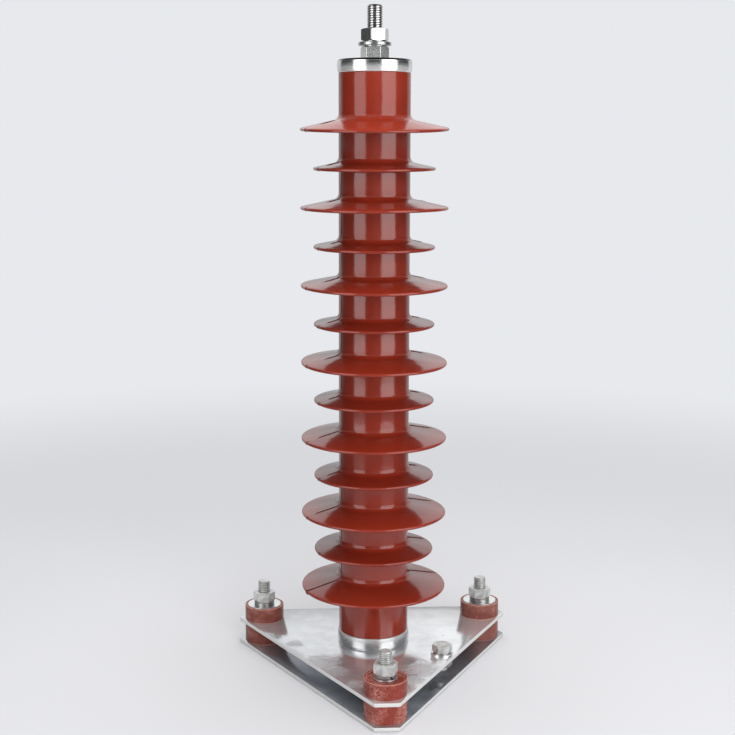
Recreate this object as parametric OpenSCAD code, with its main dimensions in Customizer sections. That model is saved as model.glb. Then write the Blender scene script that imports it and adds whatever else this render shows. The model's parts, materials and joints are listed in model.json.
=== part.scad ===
// Surge arrester: a silicone-housed column of varistor blocks on a
// three-post insulated base. Millimetres, +Z up. The column stands on the
// Z axis and the underside of the lower plate lies in the plane z = 0.
// The middle of the base lies a little to the right of the column.

/* [Sheds and housing] */
// Distance between the rims of neighbouring sheds
shed_pitch = 30; // [26:0.5:36]
// Reach of a large shed beyond the housing between the sheds
large_overhang = 29.5; // [22:0.5:42]
// Reach of a small shed beyond the housing between the sheds
small_overhang = 19.5; // [13:0.5:28]
// Wall of silicone round the tube
sleeve_wall = 5.4; // [3:0.1:8]
// Height of the lowest rim above the bottom of the housing
lower_tail = 36.5; // [20:0.5:60]
// Least height of bare housing above the top rim
least_upper_tail = 25; // [15:1:40]
// Thickness of a shed at its rounded rim
rim_t = 2.5; // [2:0.1:4]
// Fall of a shed's upper face, in degrees
upper_slope = 15; // [8:0.5:18]
// Fall of a shed's underside, in degrees
under_slope = 4; // [0:0.5:8]
// Fillet between the housing and a shed's upper face
upper_fillet_r = 6; // [2:0.5:8]
// Fillet between the housing and a shed's underside
under_fillet_r = 3; // [1:0.5:4]

/* [Tube and varistor stack] */
// Diameter of a varistor block
block_d = 34; // [30:0.5:42]
// Gap on each side of a varistor block in the tube
block_gap = 1.2; // [0.3:0.1:2.5]
// Wall of the glass-fibre tube
tube_wall = 3.8; // [2.5:0.1:6]
// Height of a varistor block
block_h = 27; // [24:0.5:32]
// Bevel on the rims of a varistor block
block_bevel = 0.6; // [0.3:0.1:1.5]
// Thickness of each contact disc
contact_h = 5; // [3:0.5:8]
// Height of one disc spring under load
spring_h = 3.4; // [2.6:0.1:4.5]
// Sheet thickness of a disc spring
spring_t = 1.6; // [1:0.1:2]
// Hole in a disc spring
spring_hole_d = 16; // [10:0.5:20]

/* [End electrodes] */
// Reach of the metal caps beyond the housing between the sheds
cap_overhang = 1; // [0.25:0.25:5]
// Height of each metal cap
cap_h = 10; // [7:0.5:16]
// Chamfer on the edges of the caps
cap_edge = 0.8; // [0.3:0.1:1.5]
// Reach of each electrode's spigot into the tube
spigot_h = 32; // [28:1:45]

/* [Line terminal] */
// Thread diameter of the line stud
line_d = 12; // [10:1:14]
// Depth of the line thread from its crests to its pitch line
line_thread_h = 0.57; // [0.4:0.01:0.8]
// Height of the line stud above the top cap
line_rise = 40.5; // [38:0.5:60]
// Depth of the line stud in the top electrode
line_depth = 20; // [15:1:24]
// Width across flats of the line nuts
line_af = 19; // [18:0.5:22]
// Height of each line nut
line_nut_h = 10; // [8:0.5:12]
// Diameter of the line flat washer
line_washer_d = 25; // [22:0.5:30]
// Thickness of the line flat washer
line_washer_t = 3; // [1.5:0.1:4]
// Turn of the lower line nut, in degrees
lower_nut_turn = -10; // [-30:1:30]
// Turn of the upper line nut, in degrees
upper_nut_turn = 12; // [-30:1:30]

/* [Base plates] */
// Distance of the middle of the base to the right of the column
base_shift = 2.5; // [0:0.5:5]
// Pitch of the base studs, from each to the next
stud_pitch = 182; // [150:1:240]
// Thickness of each plate
plate_t = 3; // [2.5:0.1:6]
// Free height between the two plates
plate_gap = 15.5; // [14.5:0.5:30]
// Distance from a stud to each nearby side of its plate
side_margin = 17.5; // [17:0.5:30]
// Distance from a stud to the cut corner of its plate
tip_margin = 18.8; // [17:0.1:30]

/* [Insulating bushes] */
// Diameter of the bushes
bush_d = 32; // [29:0.5:33]
// Height of an upper bush above the upper plate
upper_bush_h = 12; // [8:0.5:20]
// Wall round the recess in an upper bush
bush_rim = 2; // [1.2:0.1:2.5]
// Depth of the recess in an upper bush
recess_h = 2; // [1.5:0.1:5]
// Diameter of the neck that lines the hole in the upper plate
neck_d = 16; // [14.5:0.5:18]
// Reach of the neck into the lower bush
neck_step = 2; // [1:0.5:4]

/* [Base studs] */
// Thread diameter of the base studs
base_d = 10; // [8:1:10]
// Height of a base stud above its upper bush
base_rise = 20; // [17:0.5:35]
// Diameter of the flush head under a base stud
flush_head_d = 15; // [13:0.5:20]
// Height of the flush head under a base stud
flush_head_h = 1.5; // [1:0.1:2]
// Width across flats of the base nuts
base_af = 16; // [14:0.5:18]
// Height of each base nut
base_nut_h = 8.4; // [6:0.1:10]
// Diameter of the narrow flat washer on the front stud
narrow_washer_d = 17.5; // [17:0.5:22]
// Thickness of a base flat washer
base_washer_t = 2.2; // [1.5:0.1:3]
// Outer diameter of a base spring washer
base_spring_d = 16.6; // [16:0.1:19]
// Thickness of a base spring washer
base_spring_t = 2.4; // [1.5:0.1:3]

/* [Earth terminal] */
// Thread diameter of the earth bolt
earth_d = 8; // [6:1:10]
// Distance from the earth bolt to the right side of the upper plate
earth_margin = 10; // [9:0.5:16]
// Place of the earth bolt along that side, from its middle
earth_shift = -5; // [-30:1:30]
// Length of the earth bolt under its head
earth_length = 16; // [15:0.5:18]
// Width across flats of the earth bolt's head and nut
earth_af = 14; // [12.5:0.5:17]
// Height of the earth bolt's head
earth_head_h = 5; // [4:0.1:7]
// Height of the earth nut
earth_nut_h = 6.5; // [5:0.1:8]
// Diameter of the earth flat washer
earth_washer_d = 17.5; // [15:0.5:18]
// Thickness of the earth flat washer
earth_washer_t = 1.6; // [1:0.1:2.5]
// Outer diameter of the earth spring washer
earth_spring_d = 13.8; // [13:0.1:16]
// Thickness of the earth spring washer
earth_spring_t = 1.2; // [1:0.1:2]

/* [Column screw] */
// Thread diameter of the screw that holds the column on its plate
column_d = 12; // [10:1:14]
// Length of the column screw under its head
column_length = 25; // [20:1:30]
// Width across flats of the column screw's head
column_af = 18; // [17:0.5:22]
// Height of the column screw's head
column_head_h = 7.5; // [6:0.1:8]
// Outer diameter of the column spring washer
column_spring_d = 20.6; // [19:0.1:22]
// Thickness of the column spring washer
column_spring_t = 2.5; // [1.5:0.1:3]

/* [Fits] */
// Gap on each side of a bonded or moulded joint
bond_gap = 0.1; // [0:0.05:0.3]
// Gap on each side of a thread drawn as a plain cylinder
thread_gap = 0.05; // [0.02:0.01:0.2]
// Gap between the upper line nut and the free thread of the line stud
free_thread_gap = 0.4; // [0.2:0.1:1]
// Gap on each side of a bolt in its clearance hole
bolt_gap = 0.5; // [0.3:0.1:1.2]
// Gap on each side of a washer, head or neck in its seat
seat_gap = 0.3; // [0.1:0.05:0.5]
// Depth of a tapped hole beyond the end of its screw
tap_runout = 3; // [1:0.5:6]
// Chamfer at the end of a screw thread, as a share of its diameter
tip_share = 0.1; // [0.05:0.01:0.15]
// Slot in a spring washer
split_w = 1.6; // [0.8:0.1:3]
// Fall of the slot in a spring washer, in degrees from upright
split_lean = 25; // [10:1:40]

/* [Hidden] */
$fn = 96;

// Small overrun that keeps cuts clear of the faces they pass
over = 1;
// Number of segments on the small arcs of the housing's section
arc_fn = 32;
block_count = 13;
spring_count = 4;

// Each base post: its name, its direction from the middle of the base, the turn of
// its nut and the direction of the split in its spring washer
POSTS = [["front", -90, 12, -60], ["right", 30, -6, 110], ["left", 150, -2, 200]];
// The post whose flat washer doesn't fill the recess of its bush
narrow_post = "front";
earth_side_angle = -30;
earth_split_angle = 60;
column_split_angle = 0;

// Half the angle between neighbouring corners of a hexagon, and of the triangle
hex_half_angle = 30;

// Heights of the base
stud_circle_r = stud_pitch / (2 * cos(hex_half_angle));
plate_inradius = stud_circle_r / 2 + side_margin;
plate_tip_r = stud_circle_r + tip_margin;
lower_plate_top = plate_t;
upper_plate_z = lower_plate_top + plate_gap;
upper_plate_top = upper_plate_z + plate_t;
bush_top = upper_plate_top + upper_bush_h;
recess_d = bush_d - 2 * bush_rim;
recess_z = bush_top - recess_h;
base_washer_z = recess_z;
wide_washer_d = recess_d - 2 * seat_gap;
base_spring_z = base_washer_z + base_washer_t;
base_nut_z = base_spring_z + base_spring_t;
base_stud_top = bush_top + base_rise;
plate_hole_d = neck_d + 2 * seat_gap;
lower_seat_d = neck_d + 2 * seat_gap;
lower_seat_depth = neck_step + seat_gap;
base_hole_d = base_d + 2 * bolt_gap;

// Diameters of the column, from the varistor blocks outward
tube_id = block_d + 2 * block_gap;
tube_d = tube_id + 2 * tube_wall;
spigot_d = tube_id - 2 * bond_gap;
housing_bore_d = tube_d + 2 * bond_gap;
core_d = housing_bore_d + 2 * sleeve_wall;
core_r = core_d / 2;
large_shed_d = core_d + 2 * large_overhang;
small_shed_d = core_d + 2 * small_overhang;
cap_d = core_d + 2 * cap_overhang;

// Heights of the column
column_z = upper_plate_top;
housing_z = column_z + cap_h;
stack_z = housing_z + spigot_h;
stack_h = 2 * contact_h + block_count * block_h + spring_count * spring_h;
tube_h = 2 * spigot_h + stack_h;
housing_top = housing_z + tube_h;
column_top = housing_top + cap_h;
first_rim_z = housing_z + lower_tail;
shed_count = 1 + floor((tube_h - lower_tail - least_upper_tail) / shed_pitch);

// Heights of the line terminal
line_washer_z = column_top + line_nut_h;
line_upper_nut_z = line_washer_z + line_washer_t;
line_free_z = line_upper_nut_z + line_nut_h + free_thread_gap;
line_engaged_d = line_d - 2 * line_thread_h;

// Earth terminal
earth_side_distance = plate_inradius - earth_margin;
earth_x = base_shift + earth_side_distance * cos(earth_side_angle) - earth_shift * sin(earth_side_angle);
earth_y = earth_side_distance * sin(earth_side_angle) + earth_shift * cos(earth_side_angle);
earth_washer_z = upper_plate_top;
earth_spring_z = earth_washer_z + earth_washer_t;
earth_head_z = earth_spring_z + earth_spring_t;
earth_nut_z = upper_plate_z - earth_nut_h;
earth_hole_d = earth_d + 2 * bolt_gap;

// Column screw
column_spring_z = upper_plate_z - column_spring_t;
column_head_z = column_spring_z - column_head_h;
column_tip_z = column_spring_z + column_length;
column_hole_d = column_d + 2 * bolt_gap;

// Point of a post at a given direction on the stud circle
function post_at(angle) = [base_shift + stud_circle_r * cos(angle), stud_circle_r * sin(angle)];

// Upright cylinder with a chamfer at its top and one at its foot
module chamfered_rod(d, h, top_edge, foot_edge) {
    rotate_extrude()
        polygon([
            [0, 0],
            [d / 2 - foot_edge, 0],
            [d / 2, foot_edge],
            [d / 2, h - top_edge],
            [d / 2 - top_edge, h],
            [0, h]
        ]);
}

// Flat ring
module ring(outer_d, inner_d, h) {
    difference() {
        cylinder(d = outer_d, h = h);
        translate([0, 0, -over])
            cylinder(d = inner_d, h = h + 2 * over);
    }
}

// Solid of revolution that bevels the corners of a hexagon of a given width
module corner_bevel(af, h, bevel_top, bevel_foot) {
    corner_r = af / (2 * cos(hex_half_angle));
    flat_r = af / 2 * 0.97;
    drop = (corner_r - flat_r) * tan(30);
    foot = bevel_foot ? drop : 0;
    head = bevel_top ? drop : 0;
    rotate_extrude()
        polygon([
            [0, 0],
            [bevel_foot ? flat_r : corner_r, 0],
            [corner_r, foot],
            [corner_r, h - head],
            [bevel_top ? flat_r : corner_r, h],
            [0, h]
        ]);
}

// Hexagon prism with its corners bevelled at the ends that show
module hexagon(af, h, bevel_top = true, bevel_foot = true) {
    intersection() {
        cylinder(d = af / cos(hex_half_angle), h = h, $fn = 6);
        corner_bevel(af, h, bevel_top, bevel_foot);
    }
}

module hex_nut(thread_d, af, h, turn) {
    bore_d = thread_d + 2 * thread_gap;
    mouth = thread_d * tip_share;
    difference() {
        rotate([0, 0, turn])
            hexagon(af, h);
        translate([0, 0, -over])
            cylinder(d = bore_d, h = h + 2 * over);
        translate([0, 0, h - mouth])
            cylinder(d1 = bore_d, d2 = bore_d + 2 * mouth, h = mouth);
        cylinder(d1 = bore_d + 2 * mouth, d2 = bore_d, h = mouth);
    }
}

// Spring washer: a flat ring, cut through on a slant
module spring_washer(outer_d, thread_d, h, split_angle) {
    inner_d = thread_d + 2 * seat_gap;
    difference() {
        ring(outer_d, inner_d, h);
        rotate([0, 0, split_angle])
            translate([outer_d / 2, 0, h / 2])
                rotate([split_lean, 0, 0])
                    cube([outer_d, split_w, 4 * h], center = true);
    }
}

// Plate outline: an equilateral triangle with its corners cut square
module plate_outline() {
    corner_r = 2 * plate_inradius;
    translate([base_shift, 0])
        intersection() {
            polygon([for (p = POSTS) [corner_r * cos(p[1]), corner_r * sin(p[1])]]);
            polygon([for (p = POSTS) [-2 * plate_tip_r * cos(p[1]), -2 * plate_tip_r * sin(p[1])]]);
        }
}

module lower_plate() {
    head_seat_d = flush_head_d + 2 * seat_gap;
    color("silver")
        difference() {
            linear_extrude(plate_t)
                plate_outline();
            for (p = POSTS)
                translate(post_at(p[1])) {
                    translate([0, 0, -over])
                        cylinder(d = base_d + 2 * thread_gap, h = plate_t + 2 * over);
                    translate([0, 0, -over])
                        cylinder(d = head_seat_d, h = flush_head_h + over);
                }
        }
}

module upper_plate() {
    color("silver")
        translate([0, 0, upper_plate_z])
            difference() {
                linear_extrude(plate_t)
                    plate_outline();
                for (p = POSTS)
                    translate(post_at(p[1]))
                        translate([0, 0, -over])
                            cylinder(d = plate_hole_d, h = plate_t + 2 * over);
                translate([0, 0, -over])
                    cylinder(d = column_hole_d, h = plate_t + 2 * over);
                translate([earth_x, earth_y, -over])
                    cylinder(d = earth_hole_d, h = plate_t + 2 * over);
            }
}

// Stud with a flush head let into the underside of the lower plate
module base_stud(angle) {
    color("lightgray")
        translate(post_at(angle)) {
            cylinder(d = flush_head_d, h = flush_head_h);
            chamfered_rod(base_d, base_stud_top, base_d * tip_share, 0);
        }
}

module lower_bush(angle) {
    color("indianred")
        translate(post_at(angle))
            translate([0, 0, lower_plate_top])
                difference() {
                    cylinder(d = bush_d, h = plate_gap);
                    translate([0, 0, -over])
                        cylinder(d = base_hole_d, h = plate_gap + 2 * over);
                    translate([0, 0, plate_gap - lower_seat_depth])
                        cylinder(d = lower_seat_d, h = lower_seat_depth + over);
                }
}

// Upper bush: a cup for the flat washer, with a neck through the upper plate
module upper_bush(angle) {
    neck_h = plate_t + neck_step;
    color("indianred")
        translate(post_at(angle))
            translate([0, 0, upper_plate_top])
                difference() {
                    union() {
                        cylinder(d = bush_d, h = upper_bush_h);
                        translate([0, 0, -neck_h])
                            cylinder(d = neck_d, h = neck_h + upper_bush_h / 2);
                    }
                    translate([0, 0, -neck_h - over])
                        cylinder(d = base_hole_d, h = neck_h + upper_bush_h + 2 * over);
                    translate([0, 0, upper_bush_h - recess_h])
                        cylinder(d = recess_d, h = recess_h + over);
                }
}

module base_flat_washer(angle, washer_d) {
    color("gainsboro")
        translate(post_at(angle))
            translate([0, 0, base_washer_z])
                ring(washer_d, base_hole_d, base_washer_t);
}

module base_spring_washer(angle, split_angle) {
    color("darkgray")
        translate(post_at(angle))
            translate([0, 0, base_spring_z])
                spring_washer(base_spring_d, base_d, base_spring_t, split_angle);
}

module base_nut(angle, turn) {
    color("silver")
        translate(post_at(angle))
            translate([0, 0, base_nut_z])
                hex_nut(base_d, base_af, base_nut_h, turn);
}

module earth_bolt() {
    color("silver")
        translate([earth_x, earth_y, earth_head_z]) {
            hexagon(earth_af, earth_head_h, bevel_foot = false);
            mirror([0, 0, 1])
                chamfered_rod(earth_d, earth_length, earth_d * tip_share, 0);
        }
}

module earth_spring_washer() {
    color("dimgray")
        translate([earth_x, earth_y, earth_spring_z])
            spring_washer(earth_spring_d, earth_d, earth_spring_t, earth_split_angle);
}

module earth_flat_washer() {
    color("gainsboro")
        translate([earth_x, earth_y, earth_washer_z])
            ring(earth_washer_d, earth_hole_d, earth_washer_t);
}

module earth_nut() {
    color("silver")
        translate([earth_x, earth_y, earth_nut_z])
            hex_nut(earth_d, earth_af, earth_nut_h, 0);
}

// Screw from under the upper plate into the bottom electrode
module column_screw() {
    color("silver") {
        translate([0, 0, column_head_z + column_head_h])
            mirror([0, 0, 1])
                hexagon(column_af, column_head_h, bevel_foot = false);
        translate([0, 0, column_spring_z])
            chamfered_rod(column_d, column_length, column_d * tip_share, 0);
    }
}

module column_spring_washer() {
    color("dimgray")
        translate([0, 0, column_spring_z])
            spring_washer(column_spring_d, column_d, column_spring_t, column_split_angle);
}

// Electrode standing on its cap: cap, spigot and a tapped hole from below
module electrode(tapped_d, tapped_depth) {
    difference() {
        union() {
            chamfered_rod(cap_d, cap_h, cap_edge, cap_edge);
            translate([0, 0, cap_h / 2])
                chamfered_rod(spigot_d, cap_h / 2 + spigot_h, cap_edge, 0);
        }
        translate([0, 0, -over])
            cylinder(d = tapped_d + 2 * thread_gap, h = tapped_depth + over);
    }
}

module bottom_electrode() {
    color("gainsboro")
        translate([0, 0, column_z])
            electrode(column_d, column_tip_z - column_z + tap_runout);
}

module top_electrode() {
    color("gainsboro")
        translate([0, 0, column_top])
            mirror([0, 0, 1])
                electrode(line_engaged_d, line_depth + tap_runout);
}

module glass_fibre_tube() {
    color("khaki")
        translate([0, 0, housing_z])
            ring(tube_d, tube_id, tube_h);
}

module contact_disc(z) {
    color("lightgray")
        translate([0, 0, z])
            chamfered_rod(block_d, contact_h, block_bevel, block_bevel);
}

module varistor_block(index) {
    color("dimgray")
        translate([0, 0, stack_z + contact_h + index * block_h])
            chamfered_rod(block_d, block_h, block_bevel, block_bevel);
}

// Cone spring washer; every second one lies upside down
module disc_spring(index) {
    rise = spring_h - spring_t;
    outer_r = block_d / 2;
    inner_r = spring_hole_d / 2;
    z = stack_z + 2 * contact_h + block_count * block_h + index * spring_h;
    flip = index % 2;
    color("slategray")
        translate([0, 0, z + flip * spring_h])
            mirror([0, 0, flip])
                rotate_extrude()
                    polygon([
                        [inner_r, rise],
                        [outer_r, 0],
                        [outer_r, spring_t],
                        [inner_r, spring_h]
                    ]);
}

// Section of one shed, its rim's middle at height 0: a blade that tapers
// outward to a round rim, with a fillet above and below where it leaves the core
module shed_section(shed_d) {
    rim_r = rim_t / 2;
    rim_x = shed_d / 2 - rim_r;
    top_x = rim_x + rim_r * sin(upper_slope);
    top_z = rim_r * cos(upper_slope);
    under_x = rim_x - rim_r * sin(under_slope);
    under_z = -rim_r * cos(under_slope);
    root_top_z = top_z + (top_x - core_r) * tan(upper_slope);
    root_under_z = under_z + (under_x - core_r) * tan(under_slope);
    upper_c = [
        core_r + upper_fillet_r,
        root_top_z - upper_fillet_r * tan(upper_slope) + upper_fillet_r / cos(upper_slope)
    ];
    under_c = [
        core_r + under_fillet_r,
        root_under_z - under_fillet_r * tan(under_slope) - under_fillet_r / cos(under_slope)
    ];
    root_x = core_r - over;
    translate([rim_x, 0])
        circle(r = rim_r, $fn = arc_fn);
    polygon([
        [root_x, root_under_z],
        [core_r, root_under_z],
        [under_x, under_z],
        [rim_x, 0],
        [top_x, top_z],
        [core_r, root_top_z],
        [root_x, root_top_z]
    ]);
    difference() {
        polygon([
            [root_x, root_top_z - rim_r],
            [core_r, root_top_z - rim_r],
            [upper_c[0] - upper_fillet_r * sin(upper_slope), upper_c[1] - upper_fillet_r * cos(upper_slope)],
            upper_c,
            [core_r, upper_c[1]],
            [root_x, upper_c[1]]
        ]);
        translate(upper_c)
            circle(r = upper_fillet_r, $fn = arc_fn);
    }
    difference() {
        polygon([
            [root_x, root_under_z + rim_r],
            [core_r, root_under_z + rim_r],
            [under_c[0] - under_fillet_r * sin(under_slope), under_c[1] + under_fillet_r * cos(under_slope)],
            under_c,
            [core_r, under_c[1]],
            [root_x, under_c[1]]
        ]);
        translate(under_c)
            circle(r = under_fillet_r, $fn = arc_fn);
    }
}

// One moulding: a sleeve over the tube, with large and small sheds in turn
module silicone_housing() {
    color("firebrick")
        union() {
            translate([0, 0, housing_z])
                ring(core_d, housing_bore_d, tube_h);
            for (i = [0 : shed_count - 1])
                translate([0, 0, first_rim_z + i * shed_pitch])
                    rotate_extrude()
                        shed_section(i % 2 == 0 ? large_shed_d : small_shed_d);
        }
}

// Stud at its pitch diameter inside the nuts and the cap, and at its full
// diameter where the thread stands free above the upper nut
module line_stud() {
    edge = line_d * tip_share;
    foot_z = column_top - line_depth;
    color("silver") {
        translate([0, 0, foot_z])
            chamfered_rod(line_engaged_d, line_free_z + edge - foot_z, 0, edge);
        translate([0, 0, line_free_z])
            chamfered_rod(line_d, column_top + line_rise - line_free_z, edge, 0);
    }
}

module line_lower_nut() {
    color("silver")
        translate([0, 0, column_top])
            hex_nut(line_engaged_d, line_af, line_nut_h, lower_nut_turn);
}

module line_flat_washer() {
    color("gainsboro")
        translate([0, 0, line_washer_z])
            ring(line_washer_d, line_d + 2 * bolt_gap, line_washer_t);
}

module line_upper_nut() {
    color("silver")
        translate([0, 0, line_upper_nut_z])
            hex_nut(line_engaged_d, line_af, line_nut_h, upper_nut_turn);
}

lower_plate();
upper_plate();
for (p = POSTS) {
    base_stud(p[1]);
    lower_bush(p[1]);
    upper_bush(p[1]);
    base_flat_washer(p[1], p[0] == narrow_post ? narrow_washer_d : wide_washer_d);
    base_spring_washer(p[1], p[3]);
    base_nut(p[1], p[2]);
}
earth_bolt();
earth_spring_washer();
earth_flat_washer();
earth_nut();
column_screw();
column_spring_washer();
bottom_electrode();
glass_fibre_tube();
contact_disc(stack_z);  // lower_contact_disc
for (i = [0 : block_count - 1])
    varistor_block(i);
contact_disc(stack_z + contact_h + block_count * block_h);  // upper_contact_disc
for (i = [0 : spring_count - 1])
    disc_spring(i);
top_electrode();
silicone_housing();
line_stud();
line_lower_nut();
line_flat_washer();
line_upper_nut();
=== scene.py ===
import json
import math
import random

import bmesh
import bpy
from mathutils import Matrix, Vector


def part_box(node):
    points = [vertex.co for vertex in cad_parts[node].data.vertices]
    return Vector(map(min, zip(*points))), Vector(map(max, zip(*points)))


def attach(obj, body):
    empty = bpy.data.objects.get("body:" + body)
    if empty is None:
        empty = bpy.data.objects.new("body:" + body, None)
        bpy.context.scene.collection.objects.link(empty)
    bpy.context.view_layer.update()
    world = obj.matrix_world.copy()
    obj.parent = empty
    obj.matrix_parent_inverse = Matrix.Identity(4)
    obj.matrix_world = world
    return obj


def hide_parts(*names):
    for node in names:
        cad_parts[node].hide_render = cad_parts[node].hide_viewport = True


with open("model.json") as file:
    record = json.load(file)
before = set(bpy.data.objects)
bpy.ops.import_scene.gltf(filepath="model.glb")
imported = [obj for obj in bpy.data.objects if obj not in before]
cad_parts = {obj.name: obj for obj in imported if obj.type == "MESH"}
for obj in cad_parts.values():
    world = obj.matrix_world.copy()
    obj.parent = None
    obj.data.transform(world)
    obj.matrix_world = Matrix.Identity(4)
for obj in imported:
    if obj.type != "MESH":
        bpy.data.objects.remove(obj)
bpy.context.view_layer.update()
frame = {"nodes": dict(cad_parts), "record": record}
random.seed(7)

# Shapes are written in millimetres and scaled to metres when a mesh is made
MM = 0.001

# Turn of the base against the line of sight, and the camera's place and aim, in radians,
# millimetres and pixels
BASE_TURN = 0.0573
CAMERA_X, CAMERA_BACK, CAMERA_Z = -5.10, 1017.03, 422.29
CAMERA_PITCH = 0.14564
CAMERA_ROLL = 0.0020
FOCAL_PX = 1318.2
SIGHT_Y_PX = 330.0
FRAME_PX = 735.0
SENSOR = 36.0


def turned(x, y, angle):
    return x * math.cos(angle) - y * math.sin(angle), x * math.sin(angle) + y * math.cos(angle)


# Node graphs


class Nodes:
    """A node tree, with short names for the nodes that looks, floor and surround share."""

    def __init__(self, tree):
        self.tree = tree

    def new(self, kind, **values):
        node = self.tree.nodes.new("ShaderNode" + kind)
        for key, value in values.items():
            setattr(node, key, value)
        return node

    def put(self, socket, value):
        if isinstance(value, bpy.types.NodeSocket):
            self.tree.links.new(value, socket)
        else:
            socket.default_value = value

    def split(self, vector):
        node = self.new("SeparateXYZ")
        self.put(node.inputs[0], vector)
        return node.outputs

    def math(self, operation, a, b=0.0, c=0.0):
        node = self.new("Math", operation=operation)
        for socket, value in zip(node.inputs, (a, b, c)):
            self.put(socket, value)
        return node.outputs[0]

    def vector(self, operation, a, b=(0, 0, 0)):
        node = self.new("VectorMath", operation=operation)
        self.put(node.inputs[0], a)
        self.put(node.inputs[1], b)
        return node.outputs

    def ranged(self, value, low, high, to_low=0.0, to_high=1.0, smooth=False):
        node = self.new("MapRange")
        node.clamp = True
        if smooth:
            node.interpolation_type = "SMOOTHSTEP"
        for socket, item in zip(node.inputs, (value, low, high, to_low, to_high)):
            self.put(socket, item)
        return node.outputs[0]

    def shine(self, kind, colour, strength):
        """A shader that gives light: Emission on a surface, Background in the surround."""
        node = self.new(kind)
        self.put(node.inputs["Color"], colour)
        self.put(node.inputs["Strength"], strength)
        return node.outputs[0]

    def choose(self, share, a, b):
        """Shader a where share is 0, shader b where it is 1."""
        node = self.new("MixShader")
        for socket, value in zip(node.inputs, (share, a, b)):
            self.put(socket, value)
        return node.outputs[0]


def opaque(colour):
    """A colour with the fourth value that a colour socket asks for."""
    return (*colour, 1.0) if isinstance(colour, tuple) and len(colour) == 3 else colour


class Look(Nodes):
    """A material with a Principled shader."""

    def __init__(self, name):
        self.mat = bpy.data.materials.new(name)
        self.mat.use_nodes = True
        super().__init__(self.mat.node_tree)
        self.shader = self.tree.nodes["Principled BSDF"]
        self.coords = self.new("TexCoord").outputs["Object"]

    def attribute(self, name):
        return self.new("Attribute", attribute_name=name).outputs["Fac"]

    def stretch(self, scale, shift=(0, 0, 0)):
        node = self.new("Mapping")
        self.put(node.inputs["Vector"], self.coords)
        node.inputs["Scale"].default_value = scale
        node.inputs["Location"].default_value = shift
        return node.outputs["Vector"]

    def noise(self, scale, detail=3.0, roughness=0.5, vector=None, distortion=0.0):
        node = self.new("TexNoise")
        self.put(node.inputs["Vector"], vector or self.coords)
        node.inputs["Scale"].default_value = scale
        node.inputs["Detail"].default_value = detail
        node.inputs["Roughness"].default_value = roughness
        node.inputs["Distortion"].default_value = distortion
        return node.outputs["Fac"]

    def distance(self, x, y, radius):
        """Distance in plan from a point, in radii; all in millimetres."""
        reach = 1 / (radius * MM)
        offset = self.stretch((reach, reach, 0), (-x / radius, -y / radius, 0))
        return self.vector("LENGTH", offset)["Value"]

    def flatness(self):
        """1 on level faces, 0 on upright ones."""
        normal = self.split(self.new("NewGeometry").outputs["Normal"])
        return self.ranged(self.math("ABSOLUTE", normal["Z"]), 0.4, 0.95)

    def cells(self, scale):
        node = self.new("TexVoronoi", feature="F1")
        self.put(node.inputs["Vector"], self.coords)
        node.inputs["Scale"].default_value = scale
        return node.outputs["Distance"]

    def mix(self, share, a, b):
        node = self.new("Mix", data_type="RGBA")
        self.put(node.inputs["Factor"], share)
        colours = [s for s in node.inputs if s.type == "RGBA"]
        for socket, value in zip(colours, (a, b)):
            self.put(socket, opaque(value))
        return [s for s in node.outputs if s.type == "RGBA"][0]

    def bump(self, height, distance, strength=1.0, normal=None):
        node = self.new("Bump")
        self.put(node.inputs["Height"], height)
        node.inputs["Distance"].default_value = distance
        node.inputs["Strength"].default_value = strength
        if normal is not None:
            self.put(node.inputs["Normal"], normal)
        return node.outputs["Normal"]

    def set(self, **values):
        """Sets the shader's sockets, named with _ for each space."""
        for key, value in values.items():
            self.put(self.shader.inputs[key.replace("_", " ")], opaque(value))
        return self.mat


def silicone():
    """Semi-gloss red silicone. Where the seam attribute rises, along the raised mould line, it is painted
    near-black: painted shade along the flash.
    """
    g = Look("silicone_red")
    broad = g.noise(26, 3)
    fine = g.noise(700, 4)
    seam = g.attribute("seam")
    body = g.mix(g.ranged(broad, 0.35, 0.65), (0.228, 0.0210, 0.0088), (0.262, 0.0265, 0.0118))
    dusty = g.mix(g.ranged(fine, 0.62, 0.8, 0.0, 0.2), body, (0.33, 0.085, 0.062))
    line = g.ranged(seam, 0.12, 0.45)
    gloss = g.ranged(g.noise(90, 4), 0.3, 0.7, 0.11, 0.18)
    # The mould line's near-black colour is painted shade along its raised flash
    colour = g.mix(line, dusty, (0.022, 0.004, 0.003))
    rings = g.noise(1.0, 2, vector=g.stretch((14, 14, 900)))
    height = g.math("ADD", g.math("MULTIPLY", rings, 0.55), g.math("MULTIPLY", fine, 0.45))
    wavy = g.bump(g.noise(55, 2), 0.0009, 0.35)
    return g.set(
        Base_Color=colour,
        Roughness=g.math("ADD", gloss, g.math("MULTIPLY", line, 0.6)),
        IOR=1.6,
        Normal=g.bump(height, 0.00005, 0.6, wavy),
    )


def polished(name, low, high, smooth, dull, marks):
    """A turned and plated cap; marks is how strongly the tool marks bend the light. Its attribute is 1 on
    the chamfer, painted near-black there as a painted dark reflection, and falls to -1 where the side is
    made paler by less metal, a painted sheen."""
    g = Look(name)
    turned_marks = g.noise(1.0, 3, 0.6, g.stretch((25, 25, 3600)))
    cloud = g.noise(60, 3)
    painted_reflection = g.attribute("painted_reflection")
    tone = g.mix(g.ranged(cloud, 0.3, 0.7), low, high)
    # Near-black on the chamfer is a painted dark reflection; the paler, less metallic side is a painted
    # sheen
    return g.set(
        Base_Color=g.mix(g.ranged(painted_reflection, 0.0, 1.0), tone, (0.030, 0.030, 0.032)),
        Metallic=g.ranged(painted_reflection, -1.0, 0.0, 0.45, 1.0),
        Roughness=g.ranged(turned_marks, 0.35, 0.7, smooth, dull),
        Normal=g.bump(turned_marks, 0.000012, marks, g.bump(cloud, 0.0004, 0.25)),
    )


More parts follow.
